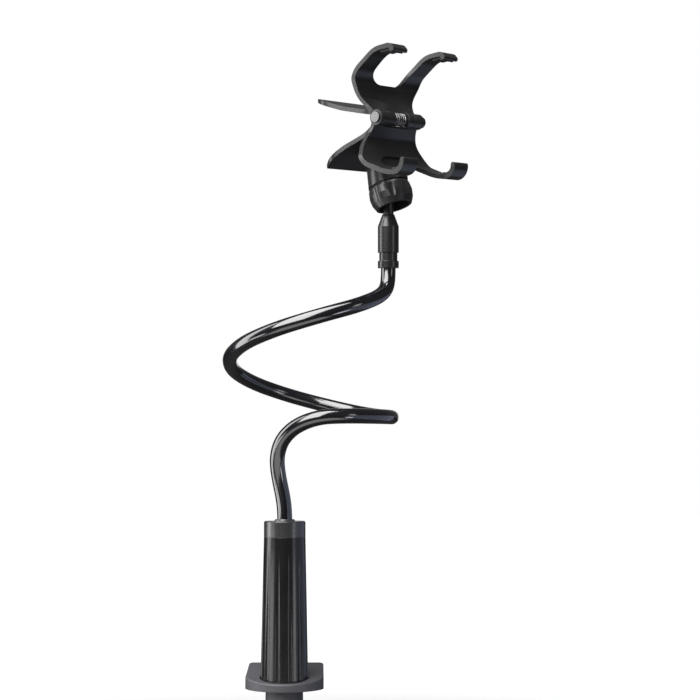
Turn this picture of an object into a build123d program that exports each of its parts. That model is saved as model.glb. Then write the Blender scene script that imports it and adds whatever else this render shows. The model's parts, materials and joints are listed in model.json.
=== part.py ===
"""Phone gooseneck holder: screw clamp, bendable neck, ball joint and sprung clip. Millimetres, +Z up."""
import math
import os

from build123d import *

# frame: the origin is the middle of the lower jaw's pad face, and the column stands before it
PAD_REACH = 23.0
CLAMP_GAP = 53.6
TRAVEL = 45.0
RUN_GAP = 0.08
SLACK = 1.0

# clamp body and upper jaw
COLUMN_R = 11.75
COLUMN_FLAT = 10.4
SCREW_R = 5.0
SCREW_LOW = CLAMP_GAP - 6.0
JAW_HALF_W = 24.6
JAW_TAPER = 0.6
JAW_FRONT = 18.0
JAW_REAR = 34.5
JAW_THICK = 11.0
PLATE_FRONT_H = 4.7
PLATE_SLOPE = 9.0
PAD_HALF_W = 19.0
PAD_LEN = 18.0
PAD_THICK = 3.0
PAD_PROUD = 1.2
WASHER_H = 1.0

# sleeve and collar
SLEEVE_BASE = CLAMP_GAP + 7.3
FLUTE_RUN = 80.0
BARE_BAND = 8.5
SLEEVE_LEN = FLUTE_RUN + BARE_BAND
SLEEVE_R_LOW = 14.95
SLEEVE_R_TOP = 13.1
SLEEVE_BORE = COLUMN_R + 0.55
FLUTES = 12
FLUTE_R = 2.4
FLUTE_DEPTH = 1.2
FLUTE_FADE = 0.06
COLLAR_R = 13.1
COLLAR_LEN = 10.2
SPIGOT_R = COLLAR_R - 2.4
SPIGOT_H = 3.5
FLANGE_R = SPIGOT_R - 2.0
FLANGE_H = 3.0
TUBE_END = 6.0
WELL_DEPTH = TUBE_END + 2.5
WEB_FLOOR = 5.0
WEB_H = 10.0
WEB_ROOM = 4.0
WEB = SLEEVE_BASE + SLEEVE_LEN - WELL_DEPTH - WEB_FLOOR - WEB_H
COLUMN_TOP = WEB - WEB_ROOM - TRAVEL

# gooseneck
TUBE_R = 4.75
CORE_R = 3.5
FERRULE_R = TUBE_R + 1.65
FERRULE_WELL = FERRULE_R + 0.6
COIL_R = 54.3
COIL_X = 15.5
COIL_Y = 30.0
COIL_LOW = 224.6
COIL_CLIMB = 0.27
COIL_LIFT_AT = 46.0
COIL_EASE = 30.0
COIL_FIRST = -62.0
COIL_LAST = 305.0
COIL_STEPS = 13
BEND_SHARE = 0.45

# ball joint, measured down the stem from the ball's middle
BALL_AT = (65.7, 5.2, 373.9)
STEM_LEAN = 4.0
BALL_R = 8.0
STEM_R = 3.4
CONE_TOP = 18.9
CONE_LEN = 7.7
CONNECTOR_R = 6.75
CONNECTOR_END = 43.3
WAIST_END = 48.7
RING_END = 53.2
WAIST_R = 5.85
SHELL_R = CONNECTOR_R - 1.15
SHANK_R = 3.12
SHANK_END = 34.5
TUBE_TOP = 38.0

# clip, in its own axes: X along the hinge, Y to the back, Z up, hinge pin at the origin
CLIP_YAW = 47.0
CLIP_PITCH = -4.0
CLIP_ROLL = -3.9
BALL_BACK = 13.0
BALL_DROP = 40.0
SOCKET_TILT = 12.5
SOCKET_R = 12.9
WALL = 3.0
HANDLE_WALL = 2.6
HANDLE_HALF_W = 31.4
PAD_WALL = 1.4
PAD_RUN = 6.5
FINGER_IN = 18.0
FINGER_OUT = 31.5
PIN_R = 2.0
KNUCKLE_R = 5.0
KNUCKLE_A = 6.4
KNUCKLE_B = 12.7
KNUCKLE_C = 20.5
KNUCKLE_ROOM = 0.4
PLUG_R = 10.8
LINER_R = 9.7
NUT_R = 14.1
NUT_LEN = 14.8
NUT_FLUTES = 8
SPRING_R = 3.6
SPRING_WIRE = 0.65
SPRING_HALF = 4.9
SPRING_TURNS = 4.7444
SPRING_START = -50.0

ON_FLOOR = (Align.CENTER, Align.CENTER, Align.MIN)


def rod(r, low, high):
    """A plain round bar standing on the Z axis."""
    return Pos(0, 0, low) * Cylinder(r, high - low, align=ON_FLOOR)


def ring(r_out, r_in, low, high):
    """A plain ring or bush standing on the Z axis."""
    return rod(r_out, low, high) - rod(r_in, low - SLACK, high + SLACK)


def turned(points):
    """A turned piece from its half outline, given as radius and height."""
    outline = make_face(Polyline(*[(r, 0, z) for r, z in points], close=True))
    return revolve(outline, Axis.Z)


def jaw_outline(half_w, front, rear):
    """The jaw seen from above: straight rear edge, slightly tapered sides and a rounded front."""
    side = half_w - JAW_TAPER
    left = Line((-side, rear), (-half_w, 2))
    bow = ThreePointArc((-half_w, 2), (0, -front), (half_w, 2))
    right = Line((half_w, 2), (side, rear))
    back = Line((side, rear), (-side, rear))
    return fillet(make_face([left, bow, right, back]).vertices().group_by(Axis.Y)[-1], 3.0)


def jaw_pad(low, high):
    """A flat rubber pad with rounded corners behind the column."""
    face = RectangleRounded(2 * PAD_HALF_W, PAD_LEN, 4)
    return Pos(0, PAD_REACH, low) * extrude(face, high - low)


def column_face(r, flat):
    """The column's section: a round with a flat behind it."""
    cut = Pos(0, flat + 2 * r) * Rectangle(4 * r, 4 * r)
    return Circle(r) - cut


# clamp body: column with a flat behind it and the lower jaw, one moulding
lower = extrude(jaw_outline(JAW_HALF_W, JAW_FRONT, JAW_REAR), JAW_THICK)
lower = fillet(lower.edges().group_by(Axis.Z)[0], 2.0)
lower = Pos(0, 0, -PAD_PROUD - JAW_THICK) * lower
root = -JAW_THICK / 2
column = Pos(0, 0, root) * extrude(column_face(COLUMN_R, COLUMN_FLAT), COLUMN_TOP - root)
clamp_body = lower + column
clamp_body -= rod(SCREW_R + RUN_GAP, root - SLACK, COLUMN_TOP + SLACK)
clamp_body -= jaw_pad(-PAD_THICK, SLACK)
clamp_body = chamfer(clamp_body.edges().group_by(Axis.Z)[-1], 0.8)
clamp_pad = jaw_pad(-PAD_THICK, 0)

# upper jaw: its top slopes down to the front, with a level seat for the sleeve
plate_base = CLAMP_GAP + PAD_PROUD
plate = extrude(jaw_outline(JAW_HALF_W, JAW_FRONT, JAW_REAR), 3 * JAW_THICK)
slope = Pos(0, -JAW_FRONT, PLATE_FRONT_H) * Rot(PLATE_SLOPE, 0, 0)
plate -= slope * Box(120, 160, 60, align=ON_FLOOR)
rim = plate.edges().filter_by(lambda e: e.center().Z > 0.5 and e.length > 12)
plate = Pos(0, 0, plate_base) * fillet(rim, 1.0)
plate -= rod(SLEEVE_R_LOW + 0.5, SLEEVE_BASE - WASHER_H, SLEEVE_BASE + JAW_THICK)
plate -= Pos(0, 0, plate_base - SLACK) * extrude(
    column_face(COLUMN_R + RUN_GAP, COLUMN_FLAT + RUN_GAP), 3 * JAW_THICK
)
presser_plate = plate - jaw_pad(CLAMP_GAP - SLACK, CLAMP_GAP + PAD_THICK)
presser_pad = jaw_pad(CLAMP_GAP, CLAMP_GAP + PAD_THICK)
thrust_washer = ring(SLEEVE_R_LOW - FLUTE_DEPTH - 0.2, SLEEVE_BORE, SLEEVE_BASE - WASHER_H, SLEEVE_BASE)


def scalloped(r, depth):
    """The sleeve's section: a round with a flute between each two lands."""
    flute = Pos(r + FLUTE_R - depth, 0) * Circle(FLUTE_R)
    return Circle(r) - [Rot(0, 0, 360 / FLUTES * (i + 0.5)) * flute for i in range(FLUTES)]


# sleeve: flutes that are deep at the foot and fade out below the collar
top = SLEEVE_BASE + SLEEVE_LEN
fade_at = SLEEVE_BASE + FLUTE_RUN
fade_r = SLEEVE_R_LOW + (SLEEVE_R_TOP - SLEEVE_R_LOW) * FLUTE_RUN / SLEEVE_LEN
foot = Pos(0, 0, SLEEVE_BASE) * scalloped(SLEEVE_R_LOW, FLUTE_DEPTH)
faded = Pos(0, 0, fade_at) * scalloped(fade_r, FLUTE_FADE)
sleeve = loft([foot, faded], ruled=True)
sleeve += turned([(0, fade_at), (fade_r, fade_at), (SLEEVE_R_TOP, top), (0, top)])
sleeve -= rod(SLEEVE_BORE, SLEEVE_BASE - SLACK, WEB)
sleeve -= rod(SCREW_R, WEB - SLACK, WEB + WEB_H)
sleeve += ring(SPIGOT_R, FERRULE_WELL, top - SLACK, top + SPIGOT_H)
grip_sleeve = sleeve - rod(FERRULE_WELL, top - WELL_DEPTH, top + SPIGOT_H + SLACK)
lead_screw = rod(SCREW_R, SCREW_LOW, WEB + WEB_H)

# collar: a cap that traps the ferrule's flange
flange_low = top + SPIGOT_H + WASHER_H
flange_top = flange_low + FLANGE_H
collar_top = top + COLLAR_LEN
cap = chamfer(rod(COLLAR_R, top, collar_top).edges().group_by(Axis.Z)[-1], 0.6)
cap -= rod(SPIGOT_R, top - SLACK, flange_top + RUN_GAP)
sleeve_collar = cap - rod(FERRULE_R + RUN_GAP, top, collar_top + SLACK)
swivel_washer = ring(SPIGOT_R - 0.6, FERRULE_WELL, top + SPIGOT_H, flange_low)
ferrule = rod(FERRULE_R, top - TUBE_END - 1.5, collar_top + 1.0) + rod(FLANGE_R, flange_low, flange_top)
ferrule = chamfer(ferrule.edges().group_by(Axis.Z)[-1], 0.4)
neck_ferrule = ferrule - rod(TUBE_R, top - TUBE_END, collar_top + 2)

# gooseneck: the coil is worked out, its two ends are led in and out by hand
stem = Pos(*BALL_AT) * Rot(STEM_LEAN, 0, 0)


def on_stem(down):
    """A point on the stem's axis, so far below the ball's middle."""
    p = (stem * Pos(0, 0, -down)).position
    return (p.X, p.Y, p.Z)


route = [(0, 0, top - TUBE_END), (0, 0, collar_top + 10), (-3.8, -2, 187), (-5.2, -5, 198.4), (-2.7, -10, 208.6)]
route += [(3.5, -15, 216.2), (12.5, -19.5, 221.4), (23.8, -22.4, 224.6)]
for i in range(COIL_STEPS + 1):
    turn = COIL_FIRST + (COIL_LAST - COIL_FIRST) * i / COIL_STEPS
    past = turn - COIL_LIFT_AT
    x = COIL_X + COIL_R * math.cos(math.radians(turn))
    y = COIL_Y + COIL_R * math.sin(math.radians(turn))
    route.append((x, y, COIL_LOW + COIL_CLIMB / 2 * (past + math.hypot(past, COIL_EASE))))
route += [(59.4, -1.0, 301.2), (65.0, 6.5, 306.9), on_stem(RING_END + 5.2), on_stem(TUBE_TOP)]
spots = [Vector(*p) for p in route]
bends = []
for a, b, c in zip(spots, spots[1:], spots[2:]):
    half = (b - a).get_angle(c - b) / 2
    bends.append(BEND_SHARE * min((b - a).length, (c - b).length) / math.tan(math.radians(half)))
path = FilletPolyline(*route, radius=bends)


def along_path(section):
    """The section run along the neck: each straight is extruded and each arc is turned about its middle."""
    pieces = []
    for edge in path.edges():
        face = Plane(origin=edge @ 0, z_dir=edge % 0) * section
        if edge.geom_type == GeomType.LINE:
            pieces.append(extrude(face, edge.length))
        else:
            pivot = Axis(edge.arc_center, (edge % 0).cross(edge % 1))
            pieces.append(revolve(face, pivot, math.degrees(edge.length / edge.radius)))
    return Part() + pieces


gooseneck_sheath = along_path(Circle(TUBE_R) - Circle(CORE_R))
gooseneck_core = along_path(Circle(CORE_R))

# connector and stud, drawn downward from the ball and then set on the leaning stem
joint_top = TUBE_TOP - 1.5
ferrule_top = turned(
    [
        (TUBE_R, -RING_END),
        (CONNECTOR_R, -RING_END),
        (CONNECTOR_R, -WAIST_END),
        (WAIST_R, -WAIST_END),
        (WAIST_R, -CONNECTOR_END),
        (SHELL_R, -CONNECTOR_END),
        (SHELL_R, -joint_top),
        (0, -joint_top),
        (0, -TUBE_TOP),
        (TUBE_R, -TUBE_TOP),
    ]
)
top_ferrule = stem * ferrule_top
shell = turned(
    [
        (SHANK_R + RUN_GAP, -CONE_TOP),
        (STEM_R + 0.5, -CONE_TOP),
        (CONNECTOR_R, -CONE_TOP - CONE_LEN),
        (CONNECTOR_R, -CONNECTOR_END),
        (SHELL_R, -CONNECTOR_END),
        (SHELL_R, -joint_top + 1),
        (SHANK_R + RUN_GAP, -joint_top + 1),
    ]
)
ball_connector = stem * shell
shoulder = RUN_GAP - CONE_TOP
stud = Sphere(BALL_R) + rod(STEM_R, shoulder, 1.5 - BALL_R) + rod(SHANK_R, -SHANK_END, shoulder + 0.1)
ball_stud = stem * stud

# clip: local axes first, then set where the photograph shows it
clip_turn = Rot(0, 0, CLIP_YAW) * Rot(CLIP_PITCH, 0, 0) * Rot(0, CLIP_ROLL, 0)
ball_in_clip = clip_turn * Pos(0, BALL_BACK, -BALL_DROP)
set_clip = Pos(*BALL_AT) * Pos(*[-v for v in tuple(ball_in_clip.position)]) * clip_turn
socket = Pos(0, BALL_BACK, -BALL_DROP) * Rot(-SOCKET_TILT, 0, 0)


def strip(points, bend, wall, half_width):
    """A curved strip of even thickness with round ends, drawn from the side."""
    line = FilletPolyline(*points, radius=bend)
    side = make_face(line.offset_2d(wall / 2))
    return extrude(Plane.YZ * side, half_width, both=True)


def prism_x(points, half_width):
    """A block with the given side outline."""
    return extrude(Plane.YZ * make_face(Polyline(*points, close=True)), half_width, both=True)


def claw_front(sign):
    """The claw seen from the front: narrow at the hinge, two fingers at the tips."""
    right = [(KNUCKLE_C, 6), (KNUCKLE_C, -7), (FINGER_OUT, -25), (FINGER_OUT, -50)]
    left = [(-x, z) for x, z in reversed(right)]
    face = make_face(Polyline(*right, *left, close=True))
    face = fillet(face.vertices().filter_by(lambda v: -26 < v.Y < -6), 9)
    gap = Pos(0, -50) * Rectangle(2 * FINGER_IN, 2 * 27)
    face -= fillet(gap.vertices().group_by(Axis.Y)[-1], 12)
    block = extrude(Plane.XZ * face, 70, both=True)
    return block if sign < 0 else mirror(block, Plane.XY)


def handle_top(rear):
    """The handle seen from above: a waist, then a wide end with bulged sides and a straight rear edge."""
    waist = [(19.5, -3), (19.5, 9)]
    bulge = [(HANDLE_HALF_W - 1.1, rear - 12.4), (HANDLE_HALF_W, rear - 7.8), (HANDLE_HALF_W - 3.5, rear)]
    right_side = Spline(*waist, *bulge, tangents=[(0, 1), (-0.6, 0.8)])
    left_side = mirror(right_side, Plane.YZ)
    back = Line(right_side @ 1, left_side @ 1)
    front = Line(left_side @ 0, right_side @ 0)
    face = fillet(make_face([right_side, back, left_side, front]).vertices().group_by(Axis.Y)[-1], 1.0)
    return extrude(face, 70, both=True)


LOWER_CLAW = [(-27.0, -32.9), (-25.8, -41.2), (-11, -37.4), (6.5, -28.2), (9.5, -14), (2.8, -3.6)]
UPPER_CLAW = [(-27.6, 36.2), (-25.8, 38.9), (-13, 39.2), (5.5, 29.0), (9.3, 14.5), (2.8, 3.6)]
CLAW_BENDS = {-1: [7, 40, 13, 12], 1: [3, 18, 14, 12]}
LOWER_HANDLE = [(2.8, -3.6), (10, -8.5), (22, -15.2), (37.7, -24.9)]
UPPER_HANDLE = [(2.8, 3.6), (12, 6.2), (22, 9.6), (39.9, 18.2)]


def bar_x(r, a, b):
    """A round bar along the hinge, from a to b."""
    return Rot(0, 90, 0) * rod(r, a, b)


def both_sides(r, a, b):
    """Two round bars along the hinge, one each side of the middle."""
    return bar_x(r, a, b) + bar_x(r, -b, -a)


def clip_half(claw, handle, sign):
    """Claw and handle of one half, without its knuckles."""
    body = strip(claw, CLAW_BENDS[sign], WALL, 40) & claw_front(sign)
    rear = handle[-1][0] + HANDLE_WALL / 2 + 0.2
    return body + (strip(handle, [8, 8], HANDLE_WALL, 40) & handle_top(rear))


half_low = clip_half(LOWER_CLAW, LOWER_HANDLE, -1)
stub = Pos(0, BALL_BACK, -BALL_DROP) * rod(SOCKET_R, -10, 27)
stub -= socket * Pos(0, 0, 0.3) * Box(60, 60, 40, align=(Align.CENTER, Align.CENTER, Align.MAX))
stub -= prism_x([(-6, 0), *LOWER_HANDLE[:3], (60, -50), (60, 40), (-6, 40)], 40)
stub -= prism_x([*LOWER_CLAW[1:], (-40, 0)], 40)
half_low += stub
half_low += socket * rod(PLUG_R, -6.0, 0.4)
half_low -= socket * rod(LINER_R + RUN_GAP, -7.0, 9.2)
slot = Pos(8, 0, -3) * Box(12, 1.4, 6.2)
half_low -= [socket * Rot(0, 0, 60 * i) * slot for i in range(6)]
half_low -= bar_x(KNUCKLE_R + KNUCKLE_ROOM, -KNUCKLE_B - 0.15, KNUCKLE_B + 0.15)
half_low += both_sides(KNUCKLE_R, KNUCKLE_B + 0.3, KNUCKLE_C)
clip_lower = half_low - bar_x(PIN_R, -30, 30)

half_up = clip_half(UPPER_CLAW, UPPER_HANDLE, 1)
half_up -= bar_x(KNUCKLE_R + KNUCKLE_ROOM, -KNUCKLE_A, KNUCKLE_A)
half_up -= both_sides(KNUCKLE_R + KNUCKLE_ROOM, KNUCKLE_B, 34)
half_up += both_sides(KNUCKLE_R, KNUCKLE_A, KNUCKLE_B)
clip_upper = half_up - bar_x(PIN_R + RUN_GAP, -30, 30)

pin_end = KNUCKLE_C + 2.5
hinge_pin = bar_x(PIN_R, -KNUCKLE_C, pin_end) + bar_x(PIN_R + 1.4, -KNUCKLE_C - 1.2, -KNUCKLE_C)
pin_cap = bar_x(PIN_R + 1.6, KNUCKLE_C, pin_end + 0.9) - bar_x(PIN_R, KNUCKLE_C - 1, pin_end)


def finger_pad(claw, sign, side):
    """A soft lining on the hook's inner side, from its floor round to its lip."""
    tip, corner, floor = [Vector(*p) for p in claw[:3]]
    lip = (tip - corner).normalized()
    along = (floor - corner).normalized()
    half = math.radians(lip.get_angle(along) / 2)
    away = (WALL + PAD_WALL) / 2 + 0.04
    heel = corner + (lip + along).normalized() * (away / math.sin(half))
    lip_run = (tip - corner).length - away / math.tan(half) - 0.4
    points = [heel + lip * lip_run, heel, heel + along * PAD_RUN]
    bend = CLAW_BENDS[sign][0] - away
    lining = strip([(p.X, p.Y) for p in points], bend, PAD_WALL, (FINGER_OUT - FINGER_IN) / 2 - 1.3)
    return Pos(side * (FINGER_IN + FINGER_OUT) / 2, 0, 0) * lining


# spring: a coil round the pin with a leg to each handle
coil_line = Helix(2 * SPRING_HALF / SPRING_TURNS, 2 * SPRING_HALF, SPRING_R, lefthand=True)
coil = sweep(Plane(origin=coil_line @ 0, z_dir=coil_line % 0) * RegularPolygon(SPRING_WIRE, 8), coil_line)
start_at = math.radians(SPRING_START)
start_dir = (0, math.cos(start_at), math.sin(start_at))
coil = Plane(origin=(-SPRING_HALF, 0, 0), x_dir=start_dir, z_dir=(1, 0, 0)) * coil


def leg(x, at, toward, length):
    """A straight spring leg that leaves the coil along its tangent."""
    spot = (x, SPRING_R * math.cos(math.radians(at)), SPRING_R * math.sin(math.radians(at)))
    heading = (0, math.cos(math.radians(toward)), math.sin(math.radians(toward)))
    return Plane(origin=spot, z_dir=heading) * rod(SPRING_WIRE, -0.15, length)


jaw_spring = coil + leg(-SPRING_HALF, SPRING_START, 40, 9.85) + leg(SPRING_HALF, 42, -48, 11.15)

# lock nut: a barrel with scalloped flutes and an open, ribbed skirt
nut = turned([(0, 0.2), (12.3, 0.2), (13.4, -2), (NUT_R, -6.5), (13.5, -11), (11.7, -NUT_LEN), (0, -NUT_LEN)])
scoop = rod(3.6, -11.7, -2.2) + Pos(0, 0, -2.2) * Sphere(3.6) + Pos(0, 0, -11.7) * Sphere(3.6)
nut -= [Rot(0, 0, 360 / NUT_FLUTES * i) * Pos(NUT_R + 2.6, 0, 0) * scoop for i in range(NUT_FLUTES)]
nut -= rod(PLUG_R + RUN_GAP, -6.3, 1)
nut -= rod(8.8, -8.5, 1)
nut -= rod(9.9, -NUT_LEN - 1, -8.3)
lock_nut = socket * nut
ball_liner = socket * (rod(LINER_R, -4.8, 9.1) - Sphere(BALL_R + RUN_GAP))

nodes = {
    "clamp_body": clamp_body,
    "clamp_pad": clamp_pad,
    "presser_plate": presser_plate,
    "presser_pad": presser_pad,
    "thrust_washer": thrust_washer,
    "lead_screw": lead_screw,
    "grip_sleeve": grip_sleeve,
    "sleeve_collar": sleeve_collar,
    "swivel_washer": swivel_washer,
    "neck_ferrule": neck_ferrule,
    "gooseneck_sheath": gooseneck_sheath,
    "gooseneck_core": gooseneck_core,
    "top_ferrule": top_ferrule,
    "ball_connector": ball_connector,
    "ball_stud": ball_stud,
    "ball_liner": set_clip * ball_liner,
    "lock_nut": set_clip * lock_nut,
    "clip_lower": set_clip * clip_lower,
    "clip_upper": set_clip * clip_upper,
    "hinge_pin": set_clip * hinge_pin,
    "pin_cap": set_clip * pin_cap,
    "jaw_spring": set_clip * jaw_spring,
    "pad_lower_left": set_clip * finger_pad(LOWER_CLAW, -1, -1),
    "pad_lower_right": set_clip * finger_pad(LOWER_CLAW, -1, 1),
    "pad_upper_left": set_clip * finger_pad(UPPER_CLAW, 1, -1),
    "pad_upper_right": set_clip * finger_pad(UPPER_CLAW, 1, 1),
}

os.makedirs("parts", exist_ok=True)
to_frame = Pos(0, -PAD_REACH, 0)
for name, shape in nodes.items():
    placed = to_frame * shape
    print(name, "solids", len(placed.solids()), "volume", round(placed.volume, 1), "valid", placed.is_valid)
    export_step(placed, f"parts/{name}.step")
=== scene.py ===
import json
import math

import bpy
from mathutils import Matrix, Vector


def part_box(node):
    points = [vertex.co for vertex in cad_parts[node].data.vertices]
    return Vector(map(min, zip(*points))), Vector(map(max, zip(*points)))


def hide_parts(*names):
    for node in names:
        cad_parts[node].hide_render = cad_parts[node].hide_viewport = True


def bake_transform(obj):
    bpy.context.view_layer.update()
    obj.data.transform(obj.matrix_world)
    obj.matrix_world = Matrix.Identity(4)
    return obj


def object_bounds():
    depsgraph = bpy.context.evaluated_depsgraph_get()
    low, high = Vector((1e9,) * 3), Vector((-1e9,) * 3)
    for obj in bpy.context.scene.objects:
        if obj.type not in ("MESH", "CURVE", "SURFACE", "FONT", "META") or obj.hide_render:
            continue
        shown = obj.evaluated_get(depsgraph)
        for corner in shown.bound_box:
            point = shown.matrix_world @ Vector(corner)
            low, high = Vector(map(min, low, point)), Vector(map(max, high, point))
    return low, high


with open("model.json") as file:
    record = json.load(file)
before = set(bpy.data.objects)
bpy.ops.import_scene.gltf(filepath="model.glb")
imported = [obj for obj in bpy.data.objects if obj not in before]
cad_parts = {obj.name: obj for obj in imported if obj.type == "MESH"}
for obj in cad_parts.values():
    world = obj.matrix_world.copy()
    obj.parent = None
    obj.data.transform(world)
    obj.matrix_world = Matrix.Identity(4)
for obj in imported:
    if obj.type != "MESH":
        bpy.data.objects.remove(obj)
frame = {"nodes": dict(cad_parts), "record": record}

size_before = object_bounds()
nodes = frame["nodes"]
collection = bpy.context.scene.collection
MM = 0.001

# the neck's middle line in millimetres: X and Y from the collar's middle, Z from the lower jaw's face
NECK_R = 4.75
NECK_SIDES = 40
NECK_STEP = 1.2
NECK_EASING = 16
BEND_SHARE = 0.45
BEND_STEPS = 12
TUBE_END = 6
FIRST_CORNER = 20.2
LEAD_IN = [
    (-3.8, -2, 187),
    (-5.2, -5, 198.4),
    (-2.7, -10, 208.6),
    (3.5, -15, 216.2),
    (12.5, -19.5, 221.4),
    (23.8, -22.4, 224.6),
]
COIL_X = 15.5
COIL_Y = 30
COIL_R = 54.3
COIL_LOW = 224.6
COIL_FIRST = -62
COIL_TURN = 367
COIL_STEPS = 13
COIL_CLIMB = 0.27
COIL_LIFT_AT = 46
COIL_EASE = 30
LEAD_OUT = [(59.4, -1.0, 301.2), (65.0, 6.5, 306.9)]
BALL_AT = (65.7, 5.2, 373.9)
STEM_LEAN = 4
STEM_CORNERS = (58.4, 38)

# the photo's camera: focal length and picture side in pixels, sensor in millimetres, tilt in degrees
FOCAL = 1700
PICTURE = 700
SENSOR = 36
CAMERA_AT = (0.0411, -1.099, 0.1915)
CAMERA_TILT = 4.04

# floor and room: brightness to the eye, and what they give to the object
FLOOR_HALF = 6
FLOOR_SHADE = 0.05
FLOOR_PALE = 0.2
FLOOR_GLOW_NEAR = 0.4
FLOOR_NEAR = 0.2
FLOOR_FAR = 0.8
ROOM_GLOW = 0.1
BACKDROP_EDGE = (0.93, 0.97)


class Value:
    """One value in a material, with plain arithmetic."""

    def __init__(self, tree, socket):
        self.tree = tree
        self.socket = socket

    def give(self, slot):
        self.tree.links.new(self.socket, slot)

    def node(self, kind, inputs=None, output=0, **settings):
        """Adds any other node to the same material and returns one of its outputs."""
        made = self.tree.nodes.new(kind)
        for name, setting in settings.items():
            setattr(made, name, setting)
        for name, item in (inputs or {}).items():
            if isinstance(item, Value):
                item.give(made.inputs[name])
            else:
                made.inputs[name].default_value = item
        return Value(self.tree, made.outputs[output])

    def maths(self, operation, first, second):
        return self.node("ShaderNodeMath", {0: first, 1: second}, operation=operation)

    def __add__(self, other):
        return self.maths("ADD", self, other)

    def __radd__(self, other):
        return self.maths("ADD", other, self)

    def __sub__(self, other):
        return self.maths("SUBTRACT", self, other)

    def __rsub__(self, other):
        return self.maths("SUBTRACT", other, self)

    def __mul__(self, other):
        return self.maths("MULTIPLY", self, other)

    def __rmul__(self, other):
        return self.maths("MULTIPLY", other, self)

    def clear(self, low, high):
        """0 below low, 1 above high and a soft step between."""
        ends = {"Value": self, "From Min": low, "From Max": high}
        return self.node("ShaderNodeMapRange", ends, interpolation_type="SMOOTHSTEP")

    def mix_colours(self, dark, light):
        """A colour between two, by this value."""
        colours = {0: self, 6: (*dark, 1), 7: (*light, 1)}
        return self.node("ShaderNodeMix", colours, output=2, data_type="RGBA")


def grey(level, blue=0.0):
    """A grey with a little more blue in it."""
    return (level, level, level + blue)


def new_material(name):
    """A material with one main shader; returns it with its shader and the piece's own coordinates."""
    material = bpy.data.materials.new(name)
    material.use_nodes = True
    tree = material.node_tree
    shader = tree.nodes["Principled BSDF"]
    place = tree.nodes.new("ShaderNodeTexCoord")
    return material, shader, Value(tree, place.outputs["Object"])


def moulded(name, dark, light, rough, grain, depth, edge=0.35, metallic=0.0, specular=0.5):
    """Moulded or drawn surface: slight cloudiness, fine grain and softly rounded edges."""
    material, shader, place = new_material(name)
    cloud = place.node("ShaderNodeTexNoise", {"Vector": place, "Scale": 45.0, "Detail": 3.0})
    fine = place.node("ShaderNodeTexNoise", {"Vector": place, "Scale": grain, "Detail": 2.0})
    cloud.clear(0.3, 0.7).mix_colours(dark, light).give(shader.inputs["Base Color"])
    roughness = rough + 0.08 * (cloud - 0.5) + 0.1 * (fine - 0.5)
    roughness.give(shader.inputs["Roughness"])
    rounded = place.node("ShaderNodeBevel", {"Radius": edge * MM}, samples=6)
    relief = {"Height": fine, "Distance": depth * MM, "Normal": rounded}
    place.node("ShaderNodeBump", relief).give(shader.inputs["Normal"])
    shader.inputs["Metallic"].default_value = metallic
    shader.inputs["Specular IOR Level"].default_value = specular
    return material


def glossy_sheath():
    """The neck's polished black sheath, very slightly uneven along its length."""
    material, shader, place = new_material("glossy sheath")
    slow = place.node("ShaderNodeTexNoise", {"Vector": place, "Scale": 60.0, "Detail": 2.0})
    tint = slow.clear(0.3, 0.7).mix_colours(grey(0.002, 0.001), grey(0.004, 0.002))
    tint.give(shader.inputs["Base Color"])
    (0.14 + 0.05 * (slow - 0.5)).give(shader.inputs["Roughness"])
    relief = {"Height": slow, "Distance": 0.05 * MM, "Strength": 0.3}
    place.node("ShaderNodeBump", relief).give(shader.inputs["Normal"])
    shader.inputs["Specular IOR Level"].default_value = 1.0
    return material


# name, dark and light colour, roughness, fineness and depth of the grain
MATERIALS = {
    "clamp_grey": moulded("clamp grey", grey(0.033, 0.005), grey(0.04, 0.005), 0.55, 2600.0, 0.05),
    "sleeve_charcoal": moulded(
        "sleeve charcoal", grey(0.004), grey(0.006), 0.2, 2400.0, 0.008, specular=0.35
    ),
    "collar_grey": moulded(
        "collar grey", grey(0.014), grey(0.016), 0.26, 1800.0, 0.006, specular=0.65
    ),
    "pad_rubber": moulded("pad rubber", grey(0.008), grey(0.011), 0.75, 1500.0, 0.08),
    "neck_black": glossy_sheath(),
    "connector_charcoal": moulded(
        "connector charcoal", grey(0.009), grey(0.011), 0.26, 2000.0, 0.004
    ),
    "steel": moulded(
        "drawn steel", grey(0.13, 0.005), grey(0.17, 0.005), 0.38, 900.0, 0.01, 0.2, metallic=1.0
    ),
    "stem_dark": moulded(
        "dark stem", grey(0.03, 0.002), grey(0.04, 0.002), 0.3, 900.0, 0.01, 0.2, metallic=0.7
    ),
    "clip_black": moulded(
        "clip black", grey(0.013), grey(0.017), 0.29, 2200.0, 0.004, specular=0.4
    ),
    # painted shade: the white washer is coloured dark, as the shade in the gap under the sleeve, so
    # that no white ring shows there
    "washer_white": moulded("washer painted shade", grey(0.012), grey(0.016), 0.5, 900.0, 0.01),
}
MATERIALS["core_wire"] = MATERIALS["steel"]

for part in frame["record"]["subparts"]:
    piece = nodes[part["node"]]
    piece.data.materials.clear()
    piece.data.materials.append(MATERIALS[part["material_slot"]])


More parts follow.
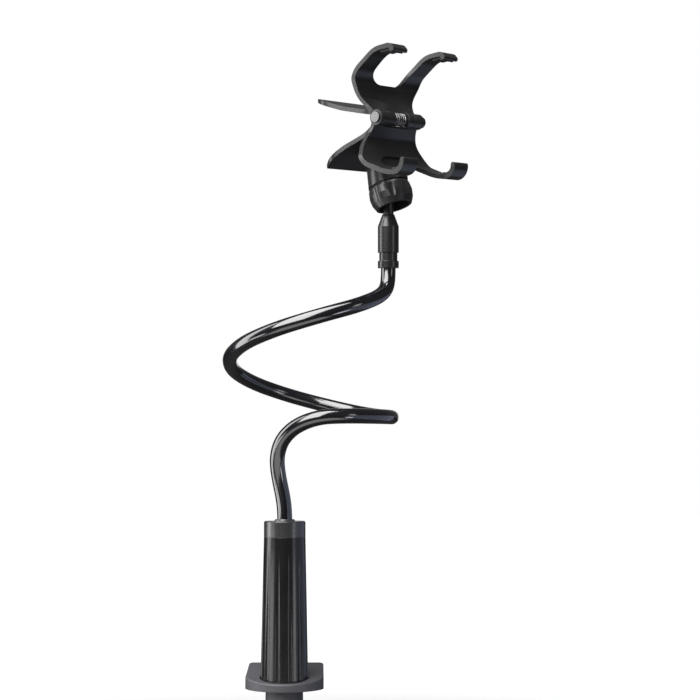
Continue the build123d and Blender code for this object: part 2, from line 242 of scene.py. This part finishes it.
def neck_route():
    """Corner points of the neck's middle line, in millimetres, from the collar up to the connector."""
    low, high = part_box("sleeve_collar")
    base_x = (low[0] + high[0]) / 2 / MM
    base_y = (low[1] + high[1]) / 2 / MM
    base_z = low[2] / MM
    points = [(0, 0, base_z - TUBE_END), (0, 0, base_z + FIRST_CORNER), *LEAD_IN]
    for i in range(COIL_STEPS + 1):
        turn = COIL_FIRST + COIL_TURN * i / COIL_STEPS
        past = turn - COIL_LIFT_AT
        x = COIL_X + COIL_R * math.cos(math.radians(turn))
        y = COIL_Y + COIL_R * math.sin(math.radians(turn))
        points.append((x, y, COIL_LOW + COIL_CLIMB / 2 * (past + math.hypot(past, COIL_EASE))))
    points += LEAD_OUT
    lean = math.radians(STEM_LEAN)
    ball_x, ball_y, ball_z = BALL_AT
    for far in STEM_CORNERS:
        points.append((ball_x, ball_y + far * math.sin(lean), ball_z - far * math.cos(lean)))
    return [Vector((base_x + x, base_y + y, z)) for x, y, z in points]


def rounded_line(points, share, per_bend):
    """The line through the points with an arc at each corner."""
    line = [points[0]]
    for a, b, c in zip(points, points[1:], points[2:]):
        reach = share * min((b - a).length, (c - b).length)
        start = b + (a - b).normalized() * reach
        end = b + (c - b).normalized() * reach
        weight = math.cos((b - a).angle(c - b) / 2)
        for i in range(per_bend + 1):
            t = i / per_bend
            pull = 2 * t * (1 - t) * weight
            whole = (1 - t) ** 2 + pull + t**2
            line.append((start * (1 - t) ** 2 + b * pull + end * t**2) / whole)
    return [*line, points[-1]]


def evened(line, step, passes):
    """The same line in even steps, eased so that its bends run into each other."""
    even = [line[0]]
    left = step
    for a, b in zip(line, line[1:]):
        run = (b - a).length
        while run >= left:
            even.append(a.lerp(b, left / run))
            left += step
        left -= run
    even[-1] = line[-1]
    for _ in range(passes):
        eased = [(a + b * 2 + c) / 4 for a, b, c in zip(even, even[1:], even[2:])]
        even = [even[0], *eased, even[-1]]
    return even


def tube(name, line, radius, sides):
    """A round tube along a line in millimetres, made in metres."""
    verts = []
    faces = []
    last = len(line) - 1
    side = Vector((1, 0, 0))
    for i, spot in enumerate(line):
        ahead = (line[min(i + 1, last)] - line[max(i - 1, 0)]).normalized()
        side = (side - ahead * side.dot(ahead)).normalized()
        other = ahead.cross(side)
        for k in range(sides):
            turn = 2 * math.pi * k / sides
            outward = side * math.cos(turn) + other * math.sin(turn)
            verts.append((spot + outward * radius) * MM)
    for low in range(0, last * sides, sides):
        high = low + sides
        for k in range(sides):
            nxt = (k + 1) % sides
            faces.append((low + k, low + nxt, high + nxt, high + k))
    faces.append(tuple(reversed(range(sides))))
    faces.append(tuple(range(last * sides, len(line) * sides)))
    mesh = bpy.data.meshes.new(name)
    mesh.from_pydata(verts, [], faces)
    mesh.shade_smooth()
    made = bpy.data.objects.new(name, mesh)
    collection.objects.link(made)
    return made


neck_line = evened(rounded_line(neck_route(), BEND_SHARE, BEND_STEPS), NECK_STEP, NECK_EASING)
neck = tube("gooseneck", neck_line, NECK_R, NECK_SIDES)
neck.data.materials.append(MATERIALS["neck_black"])
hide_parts("gooseneck_sheath", "gooseneck_core")
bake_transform(neck)

# a copy of the spring's mesh, in an object of its own, is shown in place of the CAD spring
coil = nodes["jaw_spring"]
spring = bpy.data.objects.new("clip_spring", coil.data.copy())
spring.matrix_world = coil.matrix_world
collection.objects.link(spring)
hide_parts("jaw_spring")
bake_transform(spring)


def softbox(name, place, target, width, height, glow, colour=(1, 1, 1)):
    """An even panel of light; its power follows from its size and its glow."""
    light = bpy.data.lights.new(name, "AREA")
    light.shape = "RECTANGLE"
    light.size = width
    light.size_y = height
    light.energy = glow * math.pi * width * height
    light.color = colour
    made = bpy.data.objects.new(name, light)
    made.location = place
    made.rotation_euler = (Vector(target) - made.location).to_track_quat("-Z", "Y").to_euler()
    made.visible_camera = False
    collection.objects.link(made)


# name, place, target, width, height, glow
softbox("top softbox", (-0.45, -0.8, 1.42), (0.04, 0.0, 0.25), 1.4, 2.4, 9.0)
softbox("left strip", (-0.42, 0.0, 0.42), (0.02, 0.0, 0.42), 0.2, 0.84, 5.5)
softbox("left low strip", (-0.41, -0.21, 0.066), (0.0, -0.023, 0.083), 0.17, 0.126, 5.0)
softbox("right low strip", (0.364, -0.288, 0.066), (0.0, -0.023, 0.083), 0.1, 0.126, 4.5)
softbox("right strip", (0.62, -0.4, 0.42), (0.02, 0.0, 0.42), 0.16, 0.24, 2.4)
softbox("blue panel", (0.4, 0.0, 0.14), (0.02, 0.0, 0.22), 0.8, 0.28, 0.65, (0.66, 0.73, 1.0))
softbox("low front panel", (0.0, -0.33, 0.0), (0.0, -0.329, 0.4), 0.5, 0.35, 1.6)

camera_data = bpy.data.cameras.new("camera")
camera_data.lens = FOCAL / PICTURE * SENSOR
camera_data.sensor_width = SENSOR
camera = bpy.data.objects.new("camera", camera_data)
camera.location = CAMERA_AT
camera.rotation_euler = (math.radians(90 + CAMERA_TILT), 0, 0)
collection.objects.link(camera)
bpy.context.scene.camera = camera


def looked_at(tree):
    """1 where a surface is seen directly, and 1 where it is mirrored or seen through something."""
    path = tree.nodes.new("ShaderNodeLightPath")
    seen = Value(tree, path.outputs["Is Camera Ray"])
    mirrored = Value(tree, path.outputs["Is Glossy Ray"])
    through = Value(tree, path.outputs["Is Transmission Ray"])
    return seen, seen.maths("MAXIMUM", mirrored, through)


def pale_ground():
    """Pale floor below the clamp: white to the eye away from the object, with its shadow near it."""
    low = size_before[0][2]
    corners = [(-1, -1), (1, -1), (1, 1), (-1, 1)]
    mesh = bpy.data.meshes.new("floor")
    mesh.from_pydata([(x * FLOOR_HALF, y * FLOOR_HALF, low) for x, y in corners], [], [(0, 1, 2, 3)])
    floor = bpy.data.objects.new("floor", mesh)
    collection.objects.link(floor)
    material, shader, place = new_material("pale floor")
    seen, _ = looked_at(material.node_tree)
    tint = seen.mix_colours(grey(FLOOR_SHADE), grey(FLOOR_PALE))
    tint.give(shader.inputs["Base Color"])
    shader.inputs["Roughness"].default_value = 0.9
    shader.inputs["Specular IOR Level"].default_value = 0.1
    reach = place.node("ShaderNodeVectorMath", {0: place}, output="Value", operation="LENGTH")
    far = reach.clear(FLOOR_NEAR, FLOOR_FAR)
    glow = seen * (FLOOR_GLOW_NEAR + (1 - FLOOR_GLOW_NEAR) * far)
    glow.mix_colours(grey(0), grey(1)).give(shader.inputs["Emission Color"])
    shader.inputs["Emission Strength"].default_value = 1
    floor.data.materials.append(material)


def white_room():
    """A backdrop that is white to the eye and in mirrors, in a dim room that lights the object."""
    world = bpy.data.worlds.new("room")
    bpy.context.scene.world = world
    world.use_nodes = True
    tree = world.node_tree
    ground = tree.nodes["Background"]
    seen, mirrored = looked_at(tree)
    heading = seen.node("ShaderNodeTexCoord", output="Generated")
    backward = seen.node("ShaderNodeSeparateXYZ", {"Vector": heading}, output="Y")
    behind = backward.clear(*BACKDROP_EDGE)
    strength = seen.maths("MAXIMUM", seen, ROOM_GLOW + (1 - ROOM_GLOW) * mirrored * behind)
    strength.give(ground.inputs["Strength"])
    ground.inputs["Color"].default_value = (1, 1, 1, 1)


pale_ground()
white_room()
bpy.context.scene.view_settings.view_transform = "Standard"
